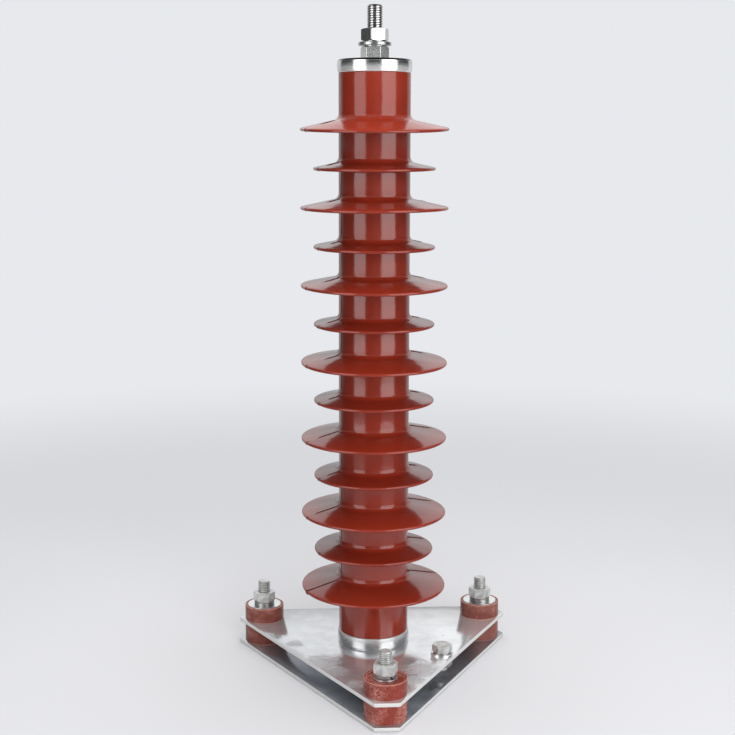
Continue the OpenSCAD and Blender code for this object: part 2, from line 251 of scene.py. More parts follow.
def bright_steel(name, metallic, dull):
    """Bright plating, painted darker in the thread grooves as painted shade; dull is its greatest
    roughness.
    """
    g = Look(name)
    grain = g.noise(900, 4, 0.6)
    cloud = g.noise(160, 3)
    groove = g.attribute("groove")
    tone = g.mix(g.ranged(cloud, 0.3, 0.7), (0.70, 0.71, 0.71), (0.84, 0.84, 0.83))
    # The thread grooves are painted darker: painted shade in the roots
    return g.set(
        Base_Color=g.mix(g.ranged(groove, 0.1, 0.8, 0.0, 0.8), tone, (0.14, 0.13, 0.13)),
        Metallic=metallic,
        Roughness=g.ranged(grain, 0.3, 0.7, 0.5 * dull, dull),
        Normal=g.bump(grain, 0.00003, 0.5),
    )


def dull_zinc():
    """Satin zinc, stained in patches, and painted darker in the thread grooves as painted shade."""
    g = Look("dull_zinc")
    grain = g.noise(1100, 5, 0.65)
    cloud = g.noise(230, 4, 0.6)
    stained = g.mix(g.ranged(cloud, 0.38, 0.66), (0.50, 0.50, 0.48), (0.76, 0.77, 0.76))
    groove = g.attribute("groove")
    # The thread grooves are painted darker: painted shade in the roots
    return g.set(
        Base_Color=g.mix(g.ranged(groove, 0.1, 0.9, 0.0, 0.7), stained, (0.24, 0.24, 0.23)),
        Metallic=g.ranged(g.flatness(), 0.0, 1.0, 0.92, 0.45),
        Roughness=g.ranged(grain, 0.3, 0.7, 0.26, 0.46),
        Normal=g.bump(grain, 0.00008, 0.7, g.bump(cloud, 0.00025, 0.5)),
    )


def washer_zinc(name, low, high):
    """Bright zinc between two tones."""
    g = Look(name)
    grain = g.noise(800, 4, 0.6)
    cloud = g.noise(140, 3)
    return g.set(
        Base_Color=g.mix(g.ranged(cloud, 0.3, 0.7), low, high),
        Metallic=1.0,
        Roughness=g.ranged(grain, 0.3, 0.7, 0.22, 0.36),
        Normal=g.bump(grain, 0.00004, 0.6),
    )


# Crinkles and a speck in the upper sheet
FOLDS = [(-44, -46, 18), (-32, -64, 13), (-17, -90, 10), (-62, -8, 8), (36, -66, 18), (26, -84, 12)]
SPECKS = [(56.8, 3.1)]
SPECK_R = 0.7


def plate_zinc(name, low, high, drift, folds=(), specks=()):
    """Zinc-coated sheet between two tones that drift from left to right, duller on its cut
    edges. Folds are crinkled patches, each a middle and a radius in millimetres, and specks
    are small dark dots."""
    g = Look(name)
    ragged = g.math("MULTIPLY", g.noise(150, 4, 0.6), 1.3)
    patch = 0.0
    for x, y, radius in folds:
        away = g.math("ADD", g.distance(x, y, radius), ragged)
        patch = g.math("MAXIMUM", patch, g.ranged(away, 1.0, 1.7, 1.0, 0.0, smooth=True))
    dark = 0.0
    for x, y in specks:
        dark = g.math("MAXIMUM", dark, g.ranged(g.distance(x, y, SPECK_R), 0.8, 1.0, 1.0, 0.0))
    crinkle = g.noise(480, 3, 0.6, g.stretch((1, 1.6, 1)), 1.2)
    spangle = g.cells(200)
    scratch = g.noise(1.0, 4, 0.7, g.stretch((900, 40, 10)))
    cloud = g.noise(60, 4, 0.6)
    flat = g.flatness()
    share = g.math("MULTIPLY_ADD", g.split(g.coords)["X"], drift, cloud)
    tone = g.mix(g.ranged(share, 0.32, 0.7), low, high)
    tone = g.mix(g.ranged(scratch, 0.66, 0.8, 0.0, 0.3), tone, (0.9, 0.9, 0.9))
    tone = g.mix(dark, tone, (0.03, 0.03, 0.03))
    rough = g.math("ADD", g.ranged(cloud, 0.3, 0.7, 0.12, 0.19), g.math("MULTIPLY", patch, 0.08))
    swell = g.bump(g.noise(24, 2), 0.0012, 0.3)
    folded = g.bump(g.math("MULTIPLY", crinkle, g.math("MULTIPLY", patch, flat)), 0.0008, 0.75, swell)
    return g.set(
        Base_Color=g.mix(flat, (0.68, 0.67, 0.66), tone),
        Metallic=g.ranged(flat, 0.0, 1.0, 0.35, 0.76),
        Roughness=g.math("MAXIMUM", rough, g.ranged(flat, 0.0, 1.0, 0.45, 0.0)),
        Normal=g.bump(g.math("MULTIPLY", spangle, flat), 0.00003, 0.3, folded),
    )


def resin(name, low, high, fibres):
    """Moulded resin between two tones; fibres is how strongly its pale fibres show."""
    g = Look(name)
    cloud = g.noise(120, 4, 0.6)
    fibre = g.noise(480, 3, 0.55, g.stretch((1, 1, 0.8)), 2.6)
    strand = g.math("ABSOLUTE", g.math("SUBTRACT", fibre, 0.5))
    thread = g.ranged(strand, 0.01, 0.04, 1.0, 0.0)
    patchy = g.ranged(g.noise(60, 2), 0.42, 0.62, 0.1 * fibres, fibres)
    body = g.mix(g.ranged(cloud, 0.3, 0.7), low, high)
    fleck = g.mix(g.math("MULTIPLY", thread, patchy), body, (0.66, 0.38, 0.32))
    # Paler colour on the outer edges where the section bends sharply
    pale = g.attribute("pale_edge")
    colour = g.mix(g.math("MULTIPLY", pale, 0.8), fleck, (0.62, 0.33, 0.27))
    return g.set(
        Base_Color=colour,
        Roughness=g.ranged(cloud, 0.3, 0.7, 0.20, 0.32),
        IOR=1.5,
        Specular_IOR_Level=0.12,
        Normal=g.bump(fibre, 0.00005 + 0.0001 * fibres, 0.5),
    )


def plain_solid(name, low, high, metallic, roughness):
    """A plain grained material between two tones."""
    g = Look(name)
    grain = g.noise(420, 4, 0.6)
    return g.set(
        Base_Color=g.mix(g.ranged(grain, 0.3, 0.7), low, high),
        Metallic=metallic,
        Roughness=roughness,
        Normal=g.bump(grain, 0.00004, 0.5),
    )


LOOKS = {
    "housing_silicone": silicone(),
    "electrode_metal": polished("polished_cap", (0.80, 0.81, 0.82), (0.88, 0.88, 0.88), 0.14, 0.22, 0.5),
    "terminal_steel": bright_steel("bright_plating", 1.0, 0.22),
    "plate_metal": plate_zinc("plate_zinc", (0.67, 0.68, 0.70), (0.88, 0.89, 0.90), 2.6, FOLDS, SPECKS),
    "base_fastener": dull_zinc(),
    "washer_metal": washer_zinc("washer_zinc", (0.76, 0.76, 0.75), (0.88, 0.88, 0.87)),
    "bush_resin": resin("bush_resin", (0.155, 0.043, 0.033), (0.215, 0.062, 0.047), 0.5),
    "tube_glass_fibre": plain_solid("glass_fibre", (0.55, 0.50, 0.26), (0.66, 0.62, 0.36), 0.0, 0.5),
    "varistor_ceramic": plain_solid("zinc_oxide", (0.035, 0.035, 0.037), (0.06, 0.06, 0.062), 0.0, 0.6),
    "spring_steel": plain_solid("spring_steel", (0.36, 0.36, 0.37), (0.5, 0.5, 0.52), 1.0, 0.35),
}
SLOT_OF = {s["node"]: s["material_slot"] for s in frame["record"]["subparts"]}
for node, obj in frame["nodes"].items():
    obj.data.materials.clear()
    obj.data.materials.append(LOOKS[SLOT_OF[node]])

# The lower cap is a little duller and the lower sheet greyer, and the front post's bushes
# are a redder batch with more fibres in sight. The line terminal's lower nut and washer and
# the spring washers are greyer than the rest, and the earth nut is dark
DULLER_CAP = polished("duller_cap", (0.62, 0.63, 0.64), (0.68, 0.68, 0.68), 0.25, 0.27, 0.06)
LOWER_SHEET = plate_zinc("plate_zinc_low", (0.37, 0.39, 0.42), (0.58, 0.60, 0.64), -3.0)
FIBROUS = resin("bush_resin_front", (0.195, 0.031, 0.022), (0.262, 0.047, 0.034), 1.0)
GREY_PLATING = bright_steel("grey_plating", 0.78, 0.30)
GREY_WASHER = washer_zinc("grey_washer", (0.50, 0.50, 0.50), (0.58, 0.58, 0.57))
SPRING_GREY = plain_solid("spring_grey", (0.40, 0.40, 0.40), (0.56, 0.56, 0.555), 1.0, 0.38)
DARK_STEEL = plain_solid("dark_steel", (0.22, 0.22, 0.225), (0.34, 0.34, 0.345), 1.0, 0.35)

# Mesh making

SHARP = math.radians(32)
MERGE, SLIVER = 1e-5, 1e-6
WASHER_COLUMNS = 72

# A rounded corner takes at most this share of a side. It is left out on the axis and
# where a side is too short
CORNER_SHARE, ON_AXIS, TOO_SHORT = 0.45, 1e-6, 1e-4


def finished(name, bm, node, look=None):
    """Turns a bmesh in millimetres into a piece that stands for a CAD node."""
    bmesh.ops.remove_doubles(bm, verts=bm.verts, dist=MERGE)
    bmesh.ops.dissolve_degenerate(bm, edges=bm.edges, dist=SLIVER)
    bmesh.ops.recalc_face_normals(bm, faces=bm.faces)
    for face in bm.faces:
        face.smooth = True
    for edge in bm.edges:
        if edge.is_manifold and edge.calc_face_angle(0) > SHARP:
            edge.smooth = False
    bmesh.ops.scale(bm, vec=(MM, MM, MM), verts=bm.verts)
    mesh = bpy.data.meshes.new(name)
    bm.to_mesh(mesh)
    bm.free()
    piece = bpy.data.objects.new(name, mesh)
    bpy.context.scene.collection.objects.link(piece)
    mesh.materials.append(look or LOOKS[SLOT_OF[node]])
    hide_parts(node)
    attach(piece, "root")
    return piece


def joined(bm, a, b):
    """Faces between two rings of points."""
    count = len(a)
    for j in range(count):
        k = (j + 1) % count
        bm.faces.new((a[j], a[k], b[k], b[j]))


def grid(rows, columns, point, closed_rows, value=None, layer=None):
    """A bmesh of a surface that closes round its columns; closed_rows joins the last row to
    the first. The value at each point goes to the named layer."""
    bm = bmesh.new()
    tag = bm.verts.layers.float.new(layer) if layer else None
    verts = []
    for i in range(rows):
        line = []
        for j in range(columns):
            vert = bm.verts.new(point(i, j))
            if tag is not None:
                vert[tag] = value(i, j)
            line.append(vert)
        verts.append(line)
    last = rows if closed_rows else rows - 1
    for i in range(last):
        joined(bm, verts[i], verts[(i + 1) % rows])
    return bm


def corner_curve(a, tip, b, steps):
    """Points of the curve that turns a corner from a to b, with the corner's tip given."""
    for k in range(steps + 1):
        t = k / steps
        yield tuple((1 - t) ** 2 * u + 2 * t * (1 - t) * v + t * t * w for u, v, w in zip(a, tip, b))


def rounded(points, radius, steps=4):
    """A closed section with each corner rounded; a corner on the axis stays."""
    out = []
    count = len(points)
    for i, (r, z) in enumerate(points):
        pr, pz = points[i - 1]
        nr, nz = points[(i + 1) % count]
        before = math.hypot(pr - r, pz - z)
        after = math.hypot(nr - r, nz - z)
        reach = min(radius, CORNER_SHARE * before, CORNER_SHARE * after)
        if r < ON_AXIS or reach < TOO_SHORT:
            out.append((r, z))
            continue
        a = r + (pr - r) * reach / before, z + (pz - z) * reach / before
        b = r + (nr - r) * reach / after, z + (nz - z) * reach / after
        out += corner_curve(a, (r, z), b, steps)
    return out


def lathe(name, node, section, centre=(0, 0), columns=96, value=None, layer=None, look=None):
    """A closed section turned round an upright axis. It may have a value for each of its
    points, which goes to the named layer."""

    def point(i, j):
        angle = 2 * math.pi * j / columns
        r, z = section[i]
        return centre[0] + r * math.cos(angle), centre[1] + r * math.sin(angle), z

    tagged = (lambda i, j: value[i]) if value else None
    return finished(name, grid(len(section), columns, point, True, tagged, layer), node, look)


def washer(name, node, centre, z, outer, inner, height, edge=0.25, look=None):
    section = [(inner, z), (outer, z), (outer, z + height), (inner, z + height)]
    return lathe(name, node, rounded(section, edge), centre, WASHER_COLUMNS, look=look)


def middle_of(node):
    """A CAD node's middle in plan, in millimetres."""
    low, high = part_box(node)
    return (low.x + high.x) / 2 / MM, (low.y + high.y) / 2 / MM


def heights(node):
    """A CAD node's lowest and highest point, in millimetres."""
    low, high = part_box(node)
    return low.z / MM, high.z / MM


# The silicone housing

CORE_R, BORE_R, RIM_T = 27.5, 22.1, 2.5
END_EDGE = 0.4
UPPER_DEG, UNDER_DEG = 12.5, 4.0
UPPER_SLOPE, UNDER_SLOPE = math.radians(UPPER_DEG), math.radians(UNDER_DEG)
UPPER_FILLET, UNDER_FILLET = 5.0, 3.0
LARGE_R, SMALL_R = 57.0, 47.0
FIRST_RIM, SHED_PITCH, SHED_COUNT = 68.0, 30.0, 13
HOUSING_COLUMNS = 116

# The mould line runs up two opposite sides, the right one at this angle. In degrees from
# it: its own columns of points, the gap to all others, where it ends and where it is full
SEAM_DEG = math.degrees(math.radians(23) - BASE_TURN)
SEAM_OFFSETS = (-1.2, -0.55, 0.0, 0.55, 1.2)
SEAM_CLEAR, SEAM_END, SEAM_FULL = 1.9, 1.0, 0.1

# Its strength beside the middle at the left and the right, and on each part except the
# upper faces, its height in millimetres, and the nib at its left end on the lowest rim
SEAM_BESIDE = (0.6, 0.9)
SEAM_SHARES = {"end": 0.0, "core": 0.25, "under": 0.35, "rim": 0.5}
CORE_RAISE, SHED_RAISE = 0.25, 0.45
NIB_H, NIB_HALF = 0.7, 0.6

# Where the mould line, raised and painted near-black as painted shade, shows on the upper face of each
# shed, as shares of the way from the core to the rim: at the left and at the right, lowest shed first. It
# fades in and out
SEAM_FADE_IN, SEAM_FADE_OUT = 0.04, 0.06
SEAM_SPANS = [
    ((0.0, 1.05), (0.0, 0.97)), ((0.0, 0.35), (0.0, 0.88)), ((0.0, 0.74), (0.0, 0.82)),
    ((0.0, 0.62), (0.0, 0.56)), ((0.1, 0.66), (0.0, 0.82)), ((0.0, 0.55), (0.0, 0.64)),
    ((0.0, 0.45), (0.0, 0.54)), ((0.0, 0.6), (0.05, 0.62)), ((0.05, 0.5), (0.05, 0.55)),
    ((0.0, 0.45), (0.1, 0.70)), ((0.0, 0.4), (0.4, 0.62)), ((0.1, 0.6), (0.2, 0.6)),
    ((0.22, 0.56), (0.25, 0.42)),
]

# The soft sheds bend with a power of the way out from the core. The heights are those at
# BEND_AT from it, in millimetres: the limits of a tilt and a wave, and how far some sheds
# lean towards the viewer, by number from the lowest
BEND_AT, BEND_POWER = 30.0, 1.5
TILT, WAVE = (0.1, 0.3), (0.05, 0.14)
LEANS = {12: 2.2, 11: 0.8, 9: 0.8, 8: 0.9, 7: 0.5, 6: 0.8}


def apart(a, b):
    """Angle between two directions, in degrees."""
    return abs((a - b + 180) % 360 - 180)


def arc(centre, radius, start, end, steps):
    for k in range(steps + 1):
        angle = math.radians(start + (end - start) * k / steps)
        yield centre[0] + radius * math.cos(angle), centre[1] + radius * math.sin(angle)


def between(a, b, steps):
    """Points inside the line from a to b."""
    for k in range(1, steps):
        t = k / steps
        yield a[0] + (b[0] - a[0]) * t, a[1] + (b[1] - a[1]) * t


def shed_r(index):
    return LARGE_R if index % 2 == 0 else SMALL_R


def shed_rows(index):
    """Section of one shed from below to above: radius, height, and what part of it the point is on."""
    z = FIRST_RIM + index * SHED_PITCH
    rim_r = RIM_T / 2
    rim_x = shed_r(index) - rim_r
    top = (rim_x + rim_r * math.sin(UPPER_SLOPE), z + rim_r * math.cos(UPPER_SLOPE))
    under = (rim_x - rim_r * math.sin(UNDER_SLOPE), z - rim_r * math.cos(UNDER_SLOPE))
    root_top = top[1] + (top[0] - CORE_R) * math.tan(UPPER_SLOPE)
    root_under = under[1] + (under[0] - CORE_R) * math.tan(UNDER_SLOPE)
    upper_c = (
        CORE_R + UPPER_FILLET,
        root_top - UPPER_FILLET * math.tan(UPPER_SLOPE) + UPPER_FILLET / math.cos(UPPER_SLOPE),
    )
    under_c = (
        CORE_R + UNDER_FILLET,
        root_under - UNDER_FILLET * math.tan(UNDER_SLOPE) - UNDER_FILLET / math.cos(UNDER_SLOPE),
    )
    below = list(arc(under_c, UNDER_FILLET, 180, 90 + UNDER_DEG, 5))
    above = list(arc(upper_c, UPPER_FILLET, 270 - UPPER_DEG, 180, 11))
    runs = (
        ("under", below),
        ("under", between(below[-1], under, 6)),
        ("rim", arc((rim_x, z), rim_r, -90 - UNDER_DEG, 90 - UPPER_DEG, 8)),
        ("top", between(top, above[0], 9)),
        ("top", above),
    )
    return [(r, h, part) for part, run in runs for r, h in run]


def housing():
    foot, head = heights("silicone_housing")
    edge_r = CORE_R - END_EDGE
    section = [(BORE_R, foot, "end", -1), (edge_r, foot, "end", -1), (CORE_R, foot + END_EDGE, "core", -1)]
    for index in range(SHED_COUNT):
        section += [(r, z, part, index) for r, z, part in shed_rows(index)]
    section += [(CORE_R, head - END_EDGE, "core", -1), (edge_r, head, "end", -1), (BORE_R, head, "end", -1)]
    count = len(section)

    # Directions that point out of the section, for the mould line's height
    normals = []
    for i in range(count):
        a, b = section[max(i - 1, 0)], section[min(i + 1, count - 1)]
        dr, dz = b[0] - a[0], b[1] - a[1]
        size = math.hypot(dr, dz) or 1.0
        normals.append((dz / size, -dr / size))

    left, right = 180 + SEAM_DEG, SEAM_DEG
    angles = [(seam + offset) % 360 for seam in (left, right) for offset in SEAM_OFFSETS]
    for k in range(HOUSING_COLUMNS):
        angle = k * (360 / HOUSING_COLUMNS)
        if min(apart(angle, left), apart(angle, right)) > SEAM_CLEAR:
            angles.append(angle)
    angles.sort()

    def seam_at(i, j):
        """How far the mould line shows at one point, from 0 to 1."""
        r, z, part, index = section[i]
        for end, seam in enumerate((left, right)):
            off = apart(angles[j], seam)
            if off > SEAM_END:
                continue
            share = 1.0 if off < SEAM_FULL else SEAM_BESIDE[end]
            if part != "top" and not (part == "rim" and (index == 0 or seam == right)):
                return share * SEAM_SHARES[part]
            along = (r - CORE_R) / (shed_r(index) - CORE_R)
            low, high = SEAM_SPANS[index][end]
            starts = max(0.0, (along - low) / SEAM_FADE_IN + 1)
            ends = max(0.0, (high - along) / SEAM_FADE_OUT)
            return share * min(1.0, starts, ends)
        return 0.0

    # Direction and height of each shed's tilt and wave
    tilt = [(random.uniform(0, 2 * math.pi), random.uniform(*TILT)) for _ in range(SHED_COUNT)]
    wave = [(random.uniform(0, 2 * math.pi), random.uniform(*WAVE)) for _ in range(SHED_COUNT)]

    def point(i, j):
        r, z, part, index = section[i]
        angle = math.radians(angles[j])
        raised = (CORE_RAISE if part == "core" else SHED_RAISE) * seam_at(i, j)
        if index >= 0:
            lever = max(0.0, (r - CORE_R) / BEND_AT) ** BEND_POWER
            z += lever * tilt[index][1] * math.cos(angle - tilt[index][0])
            z += lever * wave[index][1] * math.cos(3 * angle - wave[index][0])
            z += lever * LEANS.get(index, 0.0) * math.sin(angle + BASE_TURN)
        if index == 0 and part == "rim" and apart(angles[j], left) < NIB_HALF:
            raised = NIB_H
        r += raised * normals[i][0]
        z += raised * normals[i][1]
        return r * math.cos(angle), r * math.sin(angle), z

    bm = grid(count, len(angles), point, True, seam_at, "seam")
    return finished("housing", bm, "silicone_housing")


housing()

# The metal caps and their spigots

CAP_R, CAP_H, CAP_COLUMNS = 28.5, 10.0, 128
SPIGOT_R, SPIGOT_EDGE, BORE_EDGE = 18.1, 0.8, 1.0

# Heights are measured from a cap's outer face. Its side starts above a rim, bulges a little and ends in a
# low inner edge, and it is made paler from PALE_FROM on, a painted sheen. Points within BAND of the radius
# belong to the side, and those higher than SKIN to the rim, which on the upper cap is painted near-black as
# a painted dark reflection
RIM_H, PALE_FROM, BAND, SKIN = 1.4, 3.0, 1.6, 0.04
OUTER_FALL, INNER_FALL, SIDE_STEPS = 0.34, 0.6, 12
INNER_EDGE, INNER_EDGE_H, CAP_EDGE = 1.0, 0.55, 0.22

# The section's start at a cap's outer face, and each tapped hole's radius and depth
CHAMFERED = [(CAP_R - 1.4, 0.0)]
UNDERCUT = [(CAP_R - 1.9, 0.0), (CAP_R - 1.9, 0.55)]
COLUMN_HOLE, LINE_HOLE = (6.05, 20.0), (5.5, 23.0)


def cap(name, node, outward, edge, hole, look=None):
    """A cap with its spigot, facing up or down as outward is 1 or -1."""
    foot, head = heights(node)
    face = foot if outward < 0 else head
    side = list(edge)
    for k in range(SIDE_STEPS + 1):
        h = RIM_H + (CAP_H - RIM_H - INNER_EDGE_H) * k / SIDE_STEPS
        fall = OUTER_FALL if h < CAP_H / 2 else INNER_FALL
        side.append((CAP_R - fall * (2 * h / CAP_H - 1) ** 2, h))
    side += [(CAP_R - INNER_EDGE, CAP_H), (SPIGOT_R, CAP_H), (SPIGOT_R, head - foot - SPIGOT_EDGE)]
    side += [(SPIGOT_R - SPIGOT_EDGE, head - foot), (0.0, head - foot)]
    hole_r, depth = hole
    inner = [(0.0, depth), (hole_r, depth), (hole_r, BORE_EDGE), (hole_r + BORE_EDGE, 0.0)]
    smooth = rounded(side + inner, CAP_EDGE, 3)
    painted_reflection = []
    for r, h in smooth:
        if r < CAP_R - BAND or h > CAP_H:
            painted_reflection.append(0.0)
        elif h < RIM_H:
            # The upper cap's chamfered rim is painted near-black: a painted dark reflection
            painted_reflection.append(1.0 if h > SKIN and outward > 0 else 0.0)
        else:
            # Further from the outer face the side is made paler: a painted sheen
            painted_reflection.append(-min(1.0, max(0.0, (h - PALE_FROM) / (CAP_H - PALE_FROM))))
    section = [(r, face - outward * h) for r, h in smooth]
    return lathe(name, node, section, columns=CAP_COLUMNS, value=painted_reflection, layer="painted_reflection", look=look)


cap("bottom_cap", "bottom_electrode", -1, UNDERCUT, COLUMN_HOLE, DULLER_CAP)
cap("top_cap", "top_electrode", 1, CHAMFERED, LINE_HOLE)

# Screw threads: shares of the pitch, the stud's end and how the thread's start runs out

CREST_SHARE, ROOT_SHARE, THREAD_DEPTH = 0.30, 0.20, 0.31
TIP_EDGE, TIP_FALL, RUN_OUT = 0.9, 0.85, 2
THREAD_COLUMNS, ROWS_A_TURN = 60, 12


def stud(name, node, centre, r, pitch, foot_rows, thread_foot, top, tip):
    """A stud with a true right-hand thread from thread_foot to its top, its crests a little
    flattened. The rows below the thread are given, and tip is the chamfer at its end."""
    depth = THREAD_DEPTH * pitch
    count = int((top - thread_foot) / (pitch / ROWS_A_TURN))
    rows = [("plain", fr, fz) for fr, fz in foot_rows]
    rows += [("thread", r, thread_foot + (top - thread_foot) * k / count) for k in range(count + 1)]
    rows += [("plain", r - tip - TIP_EDGE, top), ("plain", 0.0, top)]

    def groove(i, j):
        """Share of the thread's depth at a point: 0 on a crest, 1 at a root."""
        kind, _, z = rows[i]
        if kind != "thread":
            return 0.0
        phase = (z / pitch - j / THREAD_COLUMNS) % 1.0
        flank = (abs(2 * phase - 1) - CREST_SHARE) / (1 - CREST_SHARE - ROOT_SHARE)
        return min(1.0, max(0.0, flank))

    def point(i, j):
        kind, row_r, z = rows[i]
        angle = 2 * math.pi * j / THREAD_COLUMNS
        if kind == "thread":
            row_r = r - depth * groove(i, j)
            row_r = min(row_r, r - tip + max(0.0, top - z) * TIP_FALL)
            row_r = min(row_r, r - depth + max(0.0, z - thread_foot) * RUN_OUT)
        return centre[0] + row_r * math.cos(angle), centre[1] + row_r * math.sin(angle), z

    # The groove layer carries the thread's depth to the looks, which paint shade in the roots
    return finished(name, grid(len(rows), THREAD_COLUMNS, point, False, groove, "groove"), node)


# Hexagons: points each side of a corner in degrees, how sharp the corners are, the round
# faces on the flats' own scale, the chamfer at the corners, and a nut's small steps

CORNER_STEPS = (0, 0.8, 1.7, 2.8, 4.5, 8, 15, 24)
EDGE_POWER = 70
FLAT_SHARE, FACE_SHARE = 0.965, 0.93
CORNER_FALL = math.tan(math.radians(30))
FACE_H, FACE_EDGE, FACE_EDGE_H, HAIR = 0.4, 0.1, 0.08, 0.02
MOUTH = 0.9


def hexed(name, node, centre, af, turn, rows, look=None):
    """A surface of rows round a hexagon. Each row is (radius, height) on a circle, or
    ("hex", height, fall) on the flats, where fall bends it down or up at the corners."""
    angles = []
    for corner in range(6):
        base = 60 * corner
        for step in CORNER_STEPS:
            angles.append(base + step)
            if step:
                angles.append(base - step)
    angles = sorted((a + turn) % 360 for a in angles)
    flat_r = af / 2 * FLAT_SHARE

    def hex_r(angle):
        total = 0.0
        for k in range(6):
            reach = math.cos(math.radians(angle - turn - 30 - 60 * k))
            if reach > 0:
                total += reach ** EDGE_POWER
        return af / 2 * total ** (-1 / EDGE_POWER)

    reach_at = [hex_r(a) for a in angles]

    def point(i, j):
        row = rows[i]
        angle = math.radians(angles[j])
        if row[0] == "hex":
            r = reach_at[j]
            z = row[1] + row[2] * (r - flat_r) * CORNER_FALL
        else:
            r, z = row
        return centre[0] + r * math.cos(angle), centre[1] + r * math.sin(angle), z

    closed = rows[0][0] == "hex" or rows[0][0] > 0
    return finished(name, grid(len(rows), len(angles), point, closed), node, look)


def nut(name, node, centre, z, height, af, bore_r, turn, face, look=None):
    """A nut with a low round face on its bearing side: face is "low" or "high"."""
    flat_r = af / 2 * FLAT_SHARE
    face_r = af / 2 * FACE_SHARE
    top = z + height
    mouth = bore_r + MOUTH
    foot_step = FACE_H if face == "low" else 0.0
    head_step = FACE_H if face == "high" else 0.0
    rows = [(bore_r, z + MOUTH), (mouth, z), (face_r - FACE_EDGE, z)]
    if foot_step:
        rows += [(face_r, z + FACE_EDGE_H), (face_r, z + foot_step)]
    rows += [(flat_r, z + foot_step + HAIR), ("hex", z + foot_step, 1)]
    rows += [("hex", top - head_step, -1), (flat_r, top - head_step - HAIR)]
    if head_step:
        rows += [(face_r, top - head_step), (face_r, top - FACE_EDGE_H)]
    rows += [(face_r - FACE_EDGE, top), (mouth, top), (bore_r, top - MOUTH)]
    return hexed(name, node, centre, af, turn, rows, look)


# Spring washers: how much thinner the inside is above and below, the rounded edges and
# the slant of the ends
KEYSTONE, BAR_EDGE, BAR_STEPS = 0.12, 0.22, 90
SLANT = math.tan(math.radians(25))


def spring(name, node, centre, z, outer, inner, height, split, gap):
    """A split lock washer: a bar of keystone section bent to a ring, its ends cut on a
    slant. Split is the gap's direction in degrees."""
    top = z + height
    corners = [(inner, z + KEYSTONE), (outer, z), (outer, top), (inner, top - KEYSTONE)]
    section = rounded(corners, BAR_EDGE, 3)
    middle = (outer + inner) / 2
    span = 2 * math.pi - gap / middle
    bm = bmesh.new()
    rings = []
    for k in range(BAR_STEPS + 1):
        ring = []
        for r, h in section:
            lean = (h - z - height / 2) * SLANT / middle
            angle = math.radians(split) + gap / middle / 2 + span * k / BAR_STEPS - lean
            ring.append(bm.verts.new((centre[0] + r * math.cos(angle), centre[1] + r * math.sin(angle), h)))
        rings.append(ring)
    for a, b in zip(rings, rings[1:]):
        joined(bm, a, b)
    bm.faces.new(rings[0])
    bm.faces.new(list(reversed(rings[-1])))
    return finished(name, bm, node, SPRING_GREY)


# The line terminal

AXIS = (0.0, 0.0)
LINE_R, LINE_PITCH, LINE_TIP = 6.0, 1.75, 1.0
LINE_PLAIN_R, LINE_FOOT_R, LINE_FOOT_H = 5.43, 4.9, 0.6
LINE_PLAIN_TOP, LINE_THREAD_FOOT = 479.0, 479.2
LINE_AF, LINE_NUT_BORE = 19.0, 5.5
LINE_WASHER_R, LINE_WASHER_BORE, LINE_WASHER_EDGE = 12.5, 6.5, 0.9

low, high = heights("line_stud")
stud(
    "line_stud_thread", "line_stud", AXIS, LINE_R, LINE_PITCH,
    [(0.0, low), (LINE_FOOT_R, low), (LINE_PLAIN_R, low + LINE_FOOT_H), (LINE_PLAIN_R, LINE_PLAIN_TOP)],
    LINE_THREAD_FOOT, high, LINE_TIP,
)
for name, node, nut_turn, face, look in (
    ("line_nut_low", "line_lower_nut", -10, "high", GREY_PLATING),
    ("line_nut_high", "line_upper_nut", 12, "low", None),
):
    low, high = heights(node)
    nut(name, node, AXIS, low, high - low, LINE_AF, LINE_NUT_BORE, nut_turn, face, look)
low, high = heights("line_flat_washer")
washer("line_washer", "line_flat_washer", AXIS, low, LINE_WASHER_R, LINE_WASHER_BORE, high - low,
       LINE_WASHER_EDGE, GREY_WASHER)

# The base posts: side, azimuth, the nut's turn and the spring washer's split, in degrees

POSTS = [("front", -90, 12, -60), ("right", 30, -6, 110), ("left", 150, -2, 200)]
BASE_R, BASE_PITCH, BASE_TIP = 5.0, 1.5, 0.9
BASE_PLAIN_TOP, BASE_THREAD_FOOT = 31.0, 31.2
HEAD_R, HEAD_H, HEAD_EDGE = 7.5, 1.5, 0.2
BASE_AF, BASE_NUT_BORE = 16.0, 4.55

# The bushes: bore, the seat in the lower one for the upper one's neck, the upper one's
# height above its neck and the wall round its recess. Paler edges show outside PALE_EDGE_R,
# where the section bends by more than PALE_EDGE_BEND radians
BUSH_R, BUSH_BORE = 16.0, 5.5
SEAT_R, SEAT_H, NECK_R = 8.3, 2.3, 8.0
UPPER_H, WALL, BUSH_EDGE = 12.0, 2.0, 0.35
PALE_EDGE_R, PALE_EDGE_BEND, PALE_EDGE_RISE = 13.5, 0.2, 8

# The washers: a wide one fills a rear recess but for a small gap
SMALL_WASHER_R, WIDE_GAP, BASE_WASHER_EDGE = 8.75, 2.3, 0.3
SPRING_R, SPRING_BORE, SPRING_GAP = 8.3, 5.3, 1.3


def bush(name, node, centre, section, look):
    """A moulded bush; the value on each point marks its paler edges."""
    smooth = rounded(section, BUSH_EDGE)
    pale_edge = []
    count = len(smooth)
    for i in range(count):
        a, b, c = smooth[i - 1], smooth[i], smooth[(i + 1) % count]
        first = math.atan2(b[1] - a[1], b[0] - a[0])
        second = math.atan2(c[1] - b[1], c[0] - b[0])
        bend = abs((second - first + math.pi) % (2 * math.pi) - math.pi)
        pale_edge.append(min(1.0, max(0.0, bend - PALE_EDGE_BEND) * PALE_EDGE_RISE) if b[0] > PALE_EDGE_R else 0.0)
    return lathe(name, node, smooth, centre, value=pale_edge, layer="pale_edge", look=look)


